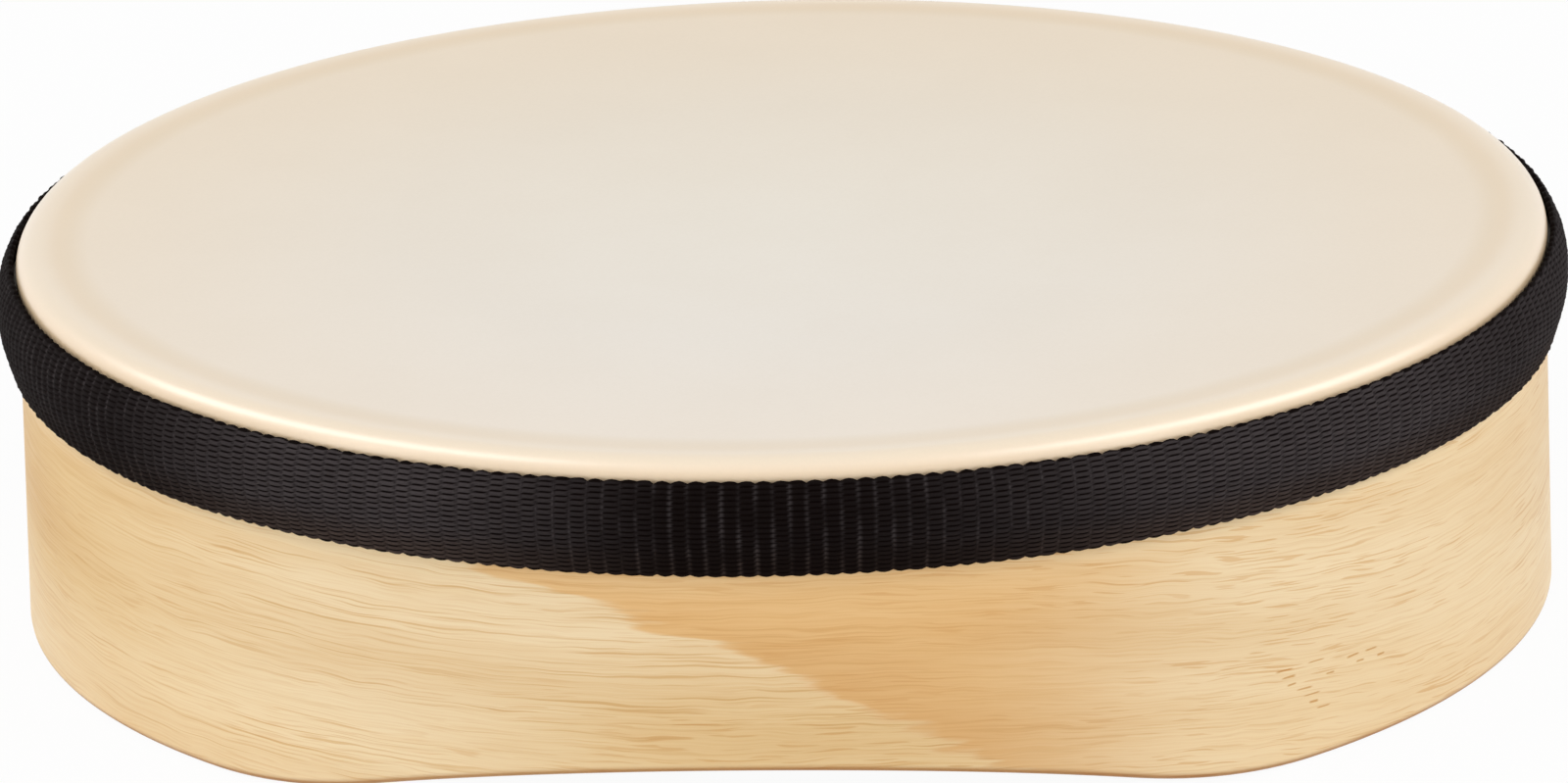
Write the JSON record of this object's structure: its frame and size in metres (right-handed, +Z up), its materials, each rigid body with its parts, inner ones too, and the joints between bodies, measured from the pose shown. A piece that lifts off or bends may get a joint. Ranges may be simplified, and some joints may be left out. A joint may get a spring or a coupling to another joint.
{
  "type": "hand drum",
  "caption": "Round wooden hand drum with a film head, a black woven band round its top edge and a long shallow hand grip cut into the bottom edge of its shell.",
  "frame": {"origin": "on the drum's axis, in the plane that the lower edge of the shell stands on", "axes": "+Z up along the drum's axis towards the head; -Y towards the middle of the hand grip"},
  "size_m": [0.2612, 0.2631, 0.0647],
  "materials": {
    "shell_wood": "pale rubberwood, clear satin lacquer",
    "core_wood": "bare ply edge under clear lacquer",
    "head_film": "milky cream drum film, satin",
    "hoop_plastic": "plain moulded strip",
    "band_webbing": "black ribbed nylon webbing",
    "staple_steel": "bright flat staple wire"
  },
  "bodies": {
    "root": {"shell_outer_ply": "shell_wood", "shell_core_ply": "core_wood", "shell_inner_ply": "shell_wood", "drum_head": "head_film", "head_hoop": "hoop_plastic", "webbing_band": "band_webbing", "head_staple_01": "staple_steel", "head_staple_02": "staple_steel", "head_staple_03": "staple_steel", "head_staple_04": "staple_steel", "head_staple_05": "staple_steel", "head_staple_06": "staple_steel", "head_staple_07": "staple_steel", "head_staple_08": "staple_steel", "head_staple_09": "staple_steel", "head_staple_10": "staple_steel", "head_staple_11": "staple_steel", "head_staple_12": "staple_steel", "head_staple_13": "staple_steel", "head_staple_14": "staple_steel", "head_staple_15": "staple_steel", "head_staple_16": "staple_steel", "seam_staple_1": "staple_steel", "seam_staple_2": "staple_steel"}
  },
  "joints": []
}
